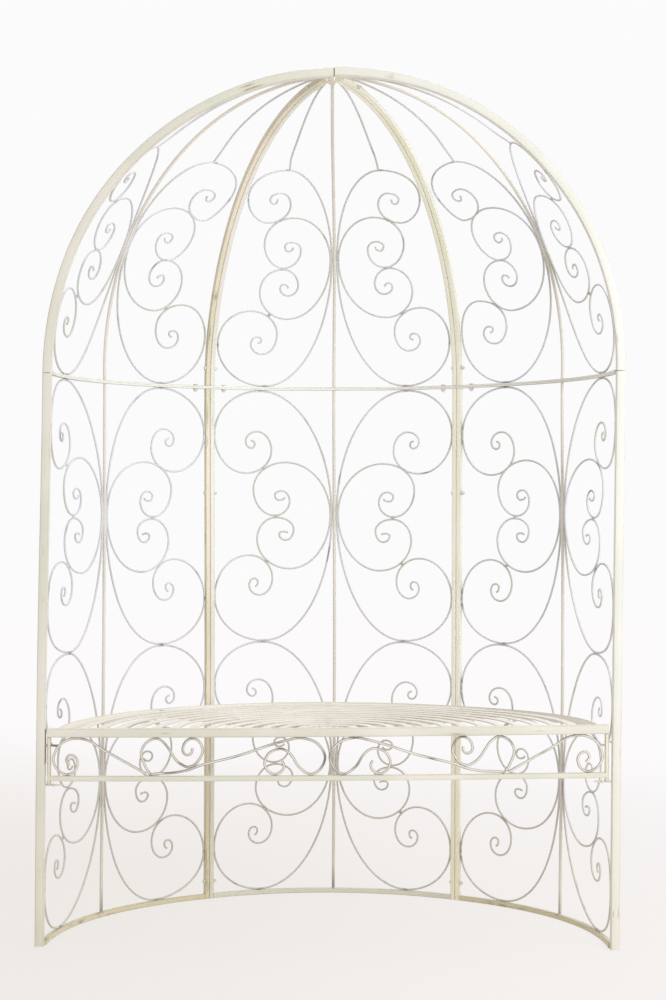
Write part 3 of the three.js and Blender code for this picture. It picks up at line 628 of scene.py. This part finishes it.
# The heat ran along some welds and left dark dashes above and below each spot.
dash_places, dash_strength = (-0.021, -0.014, 0.014, 0.021), 1.2
for panel, turn in panels:
    angle = turn * 2 * half_span
    heights = spread(panel_tube + fit_gap, ring_under - fit_gap, 20)
    run = [on_plan(angle, panel_radius, z) for z in heights]
    upright = rod(run, [outward(angle)] * len(run), centre_rod / 2, 16)
    weld = bead(run[0] - outward(angle) * bead_inset, foot_bead, up)
    scorch = (run[0] - outward(angle) * scorch_inset, 0.8)
    piece(panel + "_wall_centre_rod", [upright, weld], centre_cream, [scorch])
    for side, sign in sides:
        edge = post_tube / 2 if turn == sign else joint_edge
        turned = half_span - math.asin(edge / panel_radius)
        clear = panel_radius * turned - fit_gap - scroll_half

        def on_wall(across, height):
            reached = angle + sign * across / panel_radius
            return on_plan(reached, panel_radius, height), outward(reached)

        parts, welds = [], []
        for unit, (low, high) in zip(("upper", "lower"), wall_units):
            fields = [
                [(rod_contact + a * (clear - rod_contact), low + h * (high - low)) for a, h in shares]
                for shares in wall_shares
            ]
            rows = bent_rows(fields, wall_hand[panel, side, unit])
            meeting = rows[1] if unit == "upper" else rows[0]
            meeting[1] = (meeting[1][0], meeting[1][1] - meeting_drop[panel])
            made, spots = scroll_pair(*rows, on_wall)
            parts += made
            welds += spots + frame_welds(rows, on_wall)
            if (panel, side) == ("right", "left"):
                for across, height in (rows[0][2], rows[1][2]):
                    welds += [(on_wall(across, height + away)[0], dash_strength) for away in dash_places]
        piece(panel + "_wall_scrolls_" + side, parts, rod_cream, welds)

# The dome's centre rods and scrolls: the same rod, bent in two directions so that each gore bellies out
# between its ribs. A long stem runs from the top of each outer scroll to the apex.
gore_bulge = 0.018
rod_to = 1.5255  # the centre rods end at this lift
dome_shares = (
    (
        (0, 0.312), (0.6, 0.558), (0.955, 0.47), (0.656, 0.408), (0.442, 0.459), (0.576, 0.49),
        (0.688, 0.471), (0.633, 0.459), (0.602, 0.473),
    ),
    (
        (0, 0.312), (0.592, 0), (0.985, 0.098), (0.701, 0.183), (0.465, 0.128), (0.589, 0.078),
        (0.689, 0.101), (0.636, 0.12), (0.598, 0.113), (0.627, 0.105),
    ),
    (
        (0, 0.312), (0.384, 0.421), (0.655, 0.348), (0.447, 0.291), (0.293, 0.337), (0.382, 0.357),
        (0.451, 0.345), (0.416, 0.333), (0.37, 0.343),
    ),
    (
        (0, 0.312), (0.388, 0.165), (0.643, 0.227), (0.446, 0.287), (0.3, 0.249), (0.383, 0.222),
        (0.461, 0.238), (0.432, 0.25), (0.39, 0.241),
    ),
)
# How far the dome's scrolls are off the drawing, in the same way as on the wall.
dome_hand = {
    ("left", "left"): ((5, -9, 10), (5, 5, 0), (-12, -5), (-13, -3)),
    ("left", "right"): ((21, -8, -5), (16, 6, 0), (9, -1), (16, 4)),
    ("centre", "left"): ((0, 0, -8), (0, 0, -8), (0, 0), (0, 0)),
    ("centre", "right"): ((3, 0, -5), (10, 8, 0), (0, 2), (11, 4)),
    ("right", "left"): ((23, -7, -5), (30, 16, 0), (14, 0), (22, 4)),
    ("right", "right"): ((6, -14, 15), (-10, 9, 0), (-25, 0), (-25, 0)),
}
stem_shares = ((0.6, 0.558), (0.548, 0.597), (0.53, 0.66), (0.53, 0.76), (0.56, 0.86), (0.53, 0.95))
stem_tuck = 0.006  # a stem starts this far in from the top of its scroll
foot_lift = math.asin((dome_bar_top + fit_gap + scroll_half - ring_height) / dome_rise)
arc_length = (panel_radius + dome_rise) / 2  # of one radian of lift


def smooth_run(points, steps):
    """A Catmull-Rom curve through the points."""
    ends = [points[0] * 2 - points[1], *points, points[-1] * 2 - points[-2]]
    run = [points[0]]
    for near in zip(ends, ends[1:], ends[2:], ends[3:]):
        run += [catmull(*near, t) for t in spread(0, 1, steps)[1:]]
    return run


for panel, turn in panels:
    angle = turn * 2 * half_span

    def on_gore(across, lift):
        """A place on the gore, this far across and at this lift, and the way out from it."""
        turned = across / (panel_radius * math.cos(lift))
        bulge = gore_bulge * (1 - (turned / half_span) ** 2) * math.sin(2 * lift)
        height = ring_height + (dome_rise + bulge) * math.sin(lift)
        out = outward(angle + turned) * math.cos(lift) + up * math.sin(lift)
        return on_plan(angle + turned, (panel_radius + bulge) * math.cos(lift), height), out

    points, outs = zip(*(on_gore(0, lift) for lift in spread(dome_from, rod_to, 48)))
    upright = rod(points, outs, centre_rod / 2, 16)
    piece(panel + "_dome_centre_rod", [upright], centre_cream)
    for side, sign in sides:
        edge = post_tube / 2 if turn == sign else joint_edge

        def gore_rows(shares):
            rows = []
            for a, h in shares:
                lift = foot_lift + h * (math.pi / 2 - foot_lift)
                clear = panel_radius * math.cos(lift) * half_span - edge - fit_gap - scroll_half
                rows.append((rod_contact + a * (clear - rod_contact), lift * arc_length))
            return rows

        def on_dome(across, height):
            return on_gore(sign * across, height / arc_length)

        rows = bent_rows([gore_rows(shares) for shares in dome_shares], dome_hand[panel, side])
        parts, welds = scroll_pair(*rows, on_dome)
        stem = gore_rows(stem_shares)
        stem[0] = (rows[0][1][0] - stem_tuck, rows[0][1][1])
        points = smooth_run([Vector((*spot, 0)) for spot in stem], 8)
        points, outs = zip(*(on_dome(p.x, p.y) for p in points))
        parts.append(rod(points, outs, scroll_rod / 2))
        welds += frame_welds(rows, on_dome)
        piece(panel + "_dome_scrolls_" + side, parts, rod_cream, welds)

# The bracket at the apex: a bent steel strap that screws up under the arch and a plate that the ribs land on,
# painted with the frame. Inside the crown a sleeve of bare tube joins the halves of the arch; its dark olive
# steel is painted shade, seen in the seam between them.
bracket_low, bracket_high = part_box("apex_bracket")
plate_half, plate_reach = 0.008, 0.050
plate_low, plate_high = bracket_low.z + 0.006, bracket_low.z + 0.008
strap_half = 0.003
sleeve_reach = 0.020  # into each half
sleeve_half = post_tube / 2 - post_wall - 0.0002
crown = ring_height + arch_rise
eased = 0.0006


def block(low, high, edge):
    """A plate or a block with its edges eased."""
    bm = bmesh.new()
    size = Vector(high) - Vector(low)
    middle = (Vector(high) + Vector(low)) / 2
    place = Matrix.Translation(settled(middle))
    bmesh.ops.create_cube(bm, size=1, matrix=place @ Matrix.Diagonal((*size, 1)))
    rounded(bm, list(bm.edges), edge)
    section = unbent_here(bm).verts.layers.float_vector.new("section")
    for vert in bm.verts:
        away = vert.co - place.translation
        vert[section] = Vector((away.x / size.x, away.y / size.y, 0)) * 2
    return bm


arch_back = axis.y + post_tube / 2
plate = block((-plate_half, arch_back, plate_low), (plate_half, axis.y + plate_reach, plate_high), eased)
back = arch_back + weld_bite
strap = block((-strap_half, bracket_low.y, plate_low), (strap_half, back, bracket_high.z), eased)
piece("apex_bracket", [plate, strap], olive_cream)
sleeve = block(
    (-sleeve_reach, axis.y - sleeve_half, crown - sleeve_half),
    (sleeve_reach, axis.y + sleeve_half, crown + sleeve_half),
    eased,
)
# Dark olive steel, as painted shade in the crown seam.
seam_shade_steel = antique_paint("painted_shade_sleeve_steel", "#8a8468", "#7a7458", "#4c4636", rubbed=0.1, rough=0.5)
piece("crown_sleeve", [sleeve], seam_shade_steel)

# The bolts of the ring and the joints: zinc-plated M6 hexagon bolts and nuts, left dull with a haze of paint.
# They hold the dome on the wall and the three panels to each other.
zinc = bpy.data.materials.new("dull_zinc_plate")
tree = bare_tree(zinc)
crystal = 0.002  # zinc crystals show as blotches of about this width
place = node(tree, "TexCoord", {}, "Object")
blotch = node(tree, "TexNoise", {"Vector": place, "Scale": 1 / crystal, "Detail": 3})
tone = node(tree, "Mix", {0: blotch, 6: linear("#cbc8be"), 7: linear("#e6e4dc")}, 2, data_type="RGBA")
dull = node(tree, "MapRange", {0: blotch, 1: 0.3, 2: 0.7, 3: 0.3, 4: 0.5})
metal = node(tree, "BsdfPrincipled", {"Base Color": tone, "Roughness": dull, "Metallic": 0.2})
node(tree, "OutputMaterial", {"Surface": metal})

hex_radius, shank_radius, washer_radius = 0.0055, 0.003, 0.0062
head_height, washer_height, nut_top, stub = 0.003, 0.0008, 0.0055, 0.0085  # the last three past the grip
turned_edge, washer_edge, nut_edge = 0.0005, 0.0002, 0.0006


def fastener_part(place, segments, radius, low, high, edge):
    """A hexagon or a round of a fastener, from low to high along its own Z."""
    bm = bmesh.new()
    lift = Matrix.Translation((0, 0, (low + high) / 2))
    bmesh.ops.create_cone(
        bm, cap_ends=True, segments=segments, radius1=radius, radius2=radius, depth=high - low, matrix=lift
    )
    rounded(bm, [e for e in bm.edges if abs(e.verts[0].co.z - e.verts[1].co.z) < 1e-6], edge)
    bmesh.ops.transform(bm, matrix=place, verts=bm.verts)
    return bm


def bolt(place, grip):
    """A bolt along Z with its head under zero and its washer and nut past the grip."""
    nut_low = grip + washer_height
    return [
        fastener_part(place, 6, hex_radius, -head_height, 0, turned_edge),
        fastener_part(place, 20, shank_radius, -turned_edge, grip + stub, turned_edge),
        fastener_part(place, 20, washer_radius, grip, nut_low, washer_edge),
        fastener_part(place, 6, hex_radius, nut_low, grip + nut_top, nut_edge),
    ]


ring_bolt_offset = 0.040  # from a joint to the bolts of the ring
head_low = dome_bar_top + fit_gap
for panel, turn in panels:
    for _, sign in sides:
        if turn == sign:
            continue
        angle = turn * 2 * half_span + sign * (half_span - ring_bolt_offset / panel_radius)
        name = "ring_bolt_" + panel + "_panel_" + ("left" if angle < 0 else "right")
        place = stand(on_plan(angle, panel_radius, head_low), outward(angle), -up)
        piece(name, bolt(place, head_low - ring_under), zinc)

joint_heights, joint_lifts = (0.044, 1.038), (0.073, 1.42)
joint_back, joint_grip = 0.0122, 0.0245
for side, sign in sides:
    joint = sign * half_span
    run = along(joint)
    spots = [("joint", panel_radius, height, outward(joint)) for height in joint_heights]
    for lift in joint_lifts:
        height = ring_height + dome_rise * math.sin(lift)
        spots.append(("dome", panel_radius * math.cos(lift), height, up))
    for i, (level, radius, height, out) in enumerate(spots):
        place = stand(on_plan(joint, radius, height) - run * joint_back, out, run)
        name = level + "_bolt_" + side + "_" + str(i % 2)
        piece(name, bolt(place, joint_grip), zinc)

# The bench frame: a 20 mm front bar and a 12 mm apron rail of square tube between two bolted ends, and a flat
# bar bent to a half round as the rim of the seat. Two spacers tie its back to the wall.
seat_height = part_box("bench_front_bar")[1].z
bar_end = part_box("bench_front_bar")[1].x
front_tube = 0.020
bar_short = 0.0027  # the bars stop this far short of the end plates
front = Vector((0, -1, 0))
bars = (("bench_front_bar", front_tube, post_corner), ("bench_apron_rail", panel_tube, panel_corner))
for name, tube, corner in bars:
    low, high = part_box(name)
    height = (low.z + high.z) / 2
    stations = [
        stand(axis + Vector((x, 0, height)), front, Vector((1, 0, 0)))
        for x in spread(bar_short - bar_end, bar_end - bar_short, 24)
    ]
    piece(name, [carried(square_outline(tube, tube, corner), stations)], tube_cream)

rim_standoff, rim_thickness, rim_depth, rim_corner = 0.024, 0.004, 0.020, 0.0008
rim_radius = panel_radius - panel_tube / 2 - rim_standoff - rim_thickness / 2
ring_lap = 0.0095  # from the middle of the front bar to the ends of the half rounds
seat_cream = antique_paint(
    "seat_cream_enamel", "#f1ece2", "#eae5da", "#94897a", rubbed=-0.08, rough=0.4, edges="corners"
)


def half_ring(radius, height, steps):
    """From inside the front bar's back face round to it again."""
    lead = math.asin(ring_lap / radius)
    return level_arc(radius, height, lead - math.pi / 2, math.pi / 2 - lead, steps)


rim = half_ring(rim_radius, seat_height - rim_depth / 2, 96)
rim_bar = carried(square_outline(rim_depth, rim_thickness, rim_corner), rim)
piece("bench_rim", [rim_bar], seat_cream)

# The seat: thirteen 20 x 3 mm flat bars, rolled to half rounds about one middle, and three bearers on edge
# under them. The slats are spot welded to the bearers and the front bar.
# The narrow sides of the slats and the faces of the bearers are painted darker, as painted shade between
# them.
slat_cream = antique_paint(
    "slat_cream_enamel", "#f3eee5", "#ece7dc", "#8a7c6c", rubbed=-0.08, rough=0.4, edges="sides"
)
slat_width, slat_thickness, slat_corner = 0.020, 0.003, 0.0009
bearer_depth, bearer_thickness, bearer_corner, bearer_gap = 0.017, 0.004, 0.0006, 0.0001
slat_weld = 0.0012  # under the top of the seat
first_slat, last_slat, slat_count = 0.0615, rim_radius - 0.0565, 13
slats, welds = [], []
slat_radii = spread(first_slat, last_slat, slat_count - 1)
for radius in slat_radii:
    ring = half_ring(radius, seat_height - slat_thickness / 2, max(32, round(radius * 160)))
    slats.append(carried(square_outline(slat_thickness, slat_width, slat_corner), ring))
for angle in (-math.pi / 4, 0, math.pi / 4):
    near = (front_tube / 2 + bearer_gap) / math.cos(angle)
    far = rim_radius - rim_thickness / 2 - bearer_gap
    height = seat_height - slat_thickness - bearer_depth / 2
    stations = [stand(on_plan(angle, r, height), along(angle), outward(angle)) for r in spread(near, far, 12)]
    slats.append(carried(square_outline(bearer_depth, bearer_thickness, bearer_corner), stations))
    for radius in slat_radii:
        spot = on_plan(angle, radius + slat_width / 2, seat_height - slat_weld)
        welds.append((spot, chance.uniform(0, 0.8)))
piece("bench_seat_slats", slats, slat_cream, welds)

# The ends of the bench: an upright of square bar that stands off each post on two lugs, and two studs with
# nuts. The left upper stud has lost its zinc. The back is carried on two turned spacers.
end_cream = antique_paint(
    "chipped_cream_enamel", "#e9e3d4", "#dfd9c7", "#6f604c", 0.08, stroke=(0.003, 0.02), edges="chipped"
)
bare_steel = antique_paint("bare_steel", "#8c7c69", "#78675a", "#55463a", rubbed=0.1, stroke=(0.002, 0.01))
stand_off, upright_width, upright_half = 0.0055, 0.0085, 0.0057
upright_low, upright_high, upright_edge = 0.3723, 0.4797, 0.0012
stud_radius, stud_nut_radius, stud_nut_height, stud_drop = 0.0022, 0.005, 0.0032, 0.003
lug_half = {"left": 0.003, "right": 0.002}
stud_reach = {"left": 0.0165, "right": 0.001}  # of the upper studs
lower_reach = 0.0235
upper_nut_at, lower_nut_at = -0.003, 0.0045
packing_thickness, packing_half, packing_edge, packing_low, packing_high = 0.0014, 0.009, 0.0004, 0.42, 0.4985
spacer_radius, spacer_gap = 0.005, 0.0002
for side, sign in sides:
    low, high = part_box("bench_" + side + "_end")
    outer = low.x if sign < 0 else high.x
    upright_out = outer - sign * stand_off
    upright_in = upright_out - sign * upright_width
    back = abs(upright_in - outer)
    near, far = sorted((upright_in, upright_out))
    low, high = (near, axis.y - upright_half, upright_low), (far, axis.y + upright_half, upright_high)
    made = [block(low, high, upright_edge)]
    studs = (("upper", stud_reach[side], upper_nut_at), ("lower", lower_reach, lower_nut_at))
    for level, reach, nut_at in studs:
        name = "bench_" + side + "_" + level + "_bolt"
        middle = sum(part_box(name), Vector()) / 2
        place = stand(Vector((upright_in, middle.y, middle.z - stud_drop)), front, Vector((-sign, 0, 0)))
        stud = fastener_part(place, 20, stud_radius, -back, reach, turned_edge)
        nut = fastener_part(place, 6, stud_nut_radius, nut_at, nut_at + stud_nut_height, nut_edge)
        finish = bare_steel if (side, level) == ("left", "upper") else zinc
        piece(name, [stud, nut], finish)
        lug_end = stand_off - back + turned_edge
        lug = fastener_part(place, 20, lug_half[side], -back, lug_end, turned_edge)
        made.append(unbent_here(lug))
    piece("bench_" + side + "_end", made, end_cream)
    if side == "left":
        # A strip of bare steel packs the wider gap on this side. Its dark brown is partly rust and partly
        # painted shade in the gap.
        low = (outer, axis.y - packing_half, packing_low)
        high = (outer + packing_thickness, axis.y + packing_half, packing_high)
        piece("bench_left_packing", [block(low, high, packing_edge)], bare_steel)
    joint = sign * half_span
    rim_face = rim_radius + rim_thickness / 2 + spacer_gap
    start = on_plan(joint, rim_face, seat_height - rim_depth / 2) - along(joint) * sign * side_offset
    length = panel_radius - panel_tube / 2 - rim_face - spacer_gap
    spacer = fastener_part(stand(start, up, outward(joint)), 24, spacer_radius, 0, length, nut_edge)
    piece("bench_" + side + "_rear_spacer", [spacer], zinc)

# The apron's scrolls: 6 mm round rod, cold bent and welded between the front bar and the rail. Their paint is
# wiped off along the middle, and brown stays down both sides of the rod.
apron_rod = 0.006
apron_cream = antique_paint(
    "wiped_cream_enamel", "#ece6de", "#e2ddd4", "#4f4038", 0.18, 0.45, stroke=(0.004, 0.06), edges="rims"
)
apron_half = apron_rod * math.sqrt(math.pi) / 4
# Shares of the way from the middle to the end of the apron, and up between its bars.
apron_shares = {
    "end": (
        (0.94, 0.25), (0.952, 0.38), (0.947, 0.5), (0.934, 0.54), (0.917, 0.47), (0.91, 0.3),
        (0.922, 0.09), (0.951, 0), (0.984, 0.13), (1, 0.41), (0.985, 0.74), (0.953, 0.94), (0.915, 1),
        (0.869, 0.93), (0.817, 0.68), (0.757, 0.43), (0.66, 0.02),
    ),
    "middle": (
        (0.644, 0), (0.663, 0.22), (0.679, 0.58), (0.662, 0.87), (0.624, 1), (0.59, 0.83),
        (0.556, 0.44), (0.532, 0.28), (0.506, 0.21), (0.476, 0.33), (0.455, 0.64), (0.468, 0.91),
        (0.494, 1), (0.518, 0.9), (0.528, 0.7), (0.522, 0.58), (0.509, 0.54), (0.497, 0.59),
        (0.492, 0.72),
    ),
    "inner": (
        (0.644, 0), (0.617, 0.03), (0.56, 0.05), (0.506, 0.13), (0.455, 0.27), (0.32, 0.53),
        (0.218, 0.79), (0.141, 0.95), (0.095, 1), (0.04, 0.86), (0.009, 0.5), (0.025, 0.15),
        (0.062, 0), (0.103, 0.2), (0.128, 0.49), (0.15, 0.65), (0.177, 0.7), (0.213, 0.58),
        (0.229, 0.32), (0.217, 0.1), (0.19, 0), (0.165, 0.1), (0.158, 0.24), (0.165, 0.36),
    ),
}
end_plates = 0.013  # taken up by the plate and the upright at each end
apron_reach = bar_end - end_plates - fit_gap - apron_half
apron_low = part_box("bench_apron_rail")[1].z + fit_gap + apron_half
apron_high = seat_height - front_tube - fit_gap - apron_half
touch = 1e-4  # a rod this near to a bar is welded to it
for side, sign in sides:
    rods, welds = {}, []
    for name, shares in apron_shares.items():
        points = [
            axis + Vector((sign * a * apron_reach, 0, apron_low + h * (apron_high - apron_low)))
            for a, h in shares
        ]
        points = smooth_run(points, 7)
        rods[name] = rod(points, [front] * len(points), apron_rod / 2)
        for point in points:
            if point.z > apron_high - touch or point.z < apron_low + touch:
                welds.append((point, chance.uniform(0.2, 0.8)))
    piece("bench_" + side + "_end_scroll", [rods["end"]], apron_cream, welds)
    middle_rods = [rods["middle"], rods["inner"]]
    piece("bench_" + side + "_middle_scroll", middle_rods, apron_cream, welds)

# The studio: a pale floor that fades into a pale backdrop, a large soft light on the right, one overhead, a
# weak warm one on the left and an even sky of light. The floor keeps a faint shadow of the object.
bm = bmesh.new()
bmesh.ops.create_circle(bm, cap_ends=True, segments=96, radius=14)
floor_mesh = bpy.data.meshes.new("studio_floor")
bm.to_mesh(floor_mesh)
bm.free()
floor = placed("studio_floor", floor_mesh)
floor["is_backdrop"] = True


def seen_rays(tree):
    """1 for the rays by which the floor or the sky is seen, straight, in metal or through glass."""
    straight, mirrored, through = (
        node(tree, "LightPath", {}, "Is " + ray + " Ray") for ray in ("Camera", "Glossy", "Transmission")
    )
    seen = node(tree, "Math", {0: straight, 1: mirrored}, operation="MAXIMUM")
    return node(tree, "Math", {0: seen, 1: through}, operation="MAXIMUM")


# Matt white paper, which hides where the floor ends. Its seen colour is painted shade, darkest at the left,
# away from the key light.
paper = bpy.data.materials.new("matt_white_paper")
tree = bare_tree(paper)
dark_spot, dark_radius, pale_radius = (-1.5, 0, 0), 0.2, 4.6
shadow_radius, clear_radius = 0.8, 3  # the floor's own shadow shows near the object only
place = node(tree, "TexCoord", {}, "Object")
far = node(tree, "VectorMath", {0: place}, "Value", operation="LENGTH")
dim = node(tree, "VectorMath", {0: place, 1: dark_spot}, "Value", operation="DISTANCE")
paling = {0: dim, 1: dark_radius, 2: pale_radius}
fade = node(tree, "MapRange", paling, interpolation_type="SMOOTHSTEP")
lit = node(tree, "MapRange", {0: far, 1: shadow_radius, 2: clear_radius, 3: 0.9, 4: 1})
share = node(tree, "Math", {0: seen_rays(tree), 1: lit}, operation="MULTIPLY")
matt = {"Base Color": linear("#f4f0ec"), "Roughness": 0.4, "Specular IOR Level": 0.3}
sheet = node(tree, "BsdfPrincipled", matt)
# Near the left the seen colour is darker, as painted shade.
tint = node(tree, "Mix", {0: fade, 6: linear("#ede9e5"), 7: linear("#fcfafb")}, 2, data_type="RGBA")
glow = node(tree, "Emission", {"Color": tint})
mixed = node(tree, "MixShader", {0: share, 1: sheet, 2: glow})
node(tree, "OutputMaterial", {"Surface": mixed})
floor_mesh.materials.append(paper)

world = bpy.data.worlds.new("studio")
bpy.context.scene.world = world
tree = bare_tree(world)
light = node(tree, "Background", {"Color": linear("#fffdf8"), "Strength": 0.48})
pale = node(tree, "Background", {"Color": linear("#fbfbfc")})
mixed = node(tree, "MixShader", {0: seen_rays(tree), 1: light, 2: pale})
node(tree, "OutputWorld", {"Surface": mixed})

object_middle = Vector((0, 0, 1.0))
for name, spot, size, watts, colour in (
    ("key", (2.9, -3.0, 2.0), 1.8, 99, (0.93, 0.97, 1.0)),
    ("overhead", (0.3, 0.2, 4.6), 3.0, 75, (1.0, 1.0, 1.0)),
    ("fill", (-3.2, -2.2, 1.9), 2.0, 14, (1.0, 0.98, 0.92)),
):
    lamp = bpy.data.lights.new(name + "_softbox", "AREA")
    lamp.size = size
    lamp.energy = watts
    lamp.color = colour
    holder = placed(name + "_softbox", lamp)
    aim = object_middle - Vector(spot)
    holder.matrix_world = Matrix.Translation(spot) @ aim.to_track_quat("-Z", "Y").to_matrix().to_4x4()

# The camera stands where the photographer's did, a little right of the middle and at half the height.
camera_place = (0.0551, -4.7407, 0.9914)
camera_yaw, camera_pitch, camera_roll = 0.01113, 0.005676, 0.003504
lens = bpy.data.cameras.new("camera")
lens.sensor_fit = "VERTICAL"
lens.sensor_height = 36
lens.lens = 70.02
camera = placed("camera", lens)
camera.matrix_world = (
    Matrix.Translation(camera_place)
    @ Matrix.Rotation(camera_yaw, 4, "Z")
    @ Matrix.Rotation(math.pi / 2 + camera_pitch, 4, "X")
    @ Matrix.Rotation(camera_roll, 4, "Z")
)
bpy.context.scene.camera = camera
bpy.context.scene.view_settings.view_transform = "Standard"

bpy.context.view_layer.update()
low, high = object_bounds()
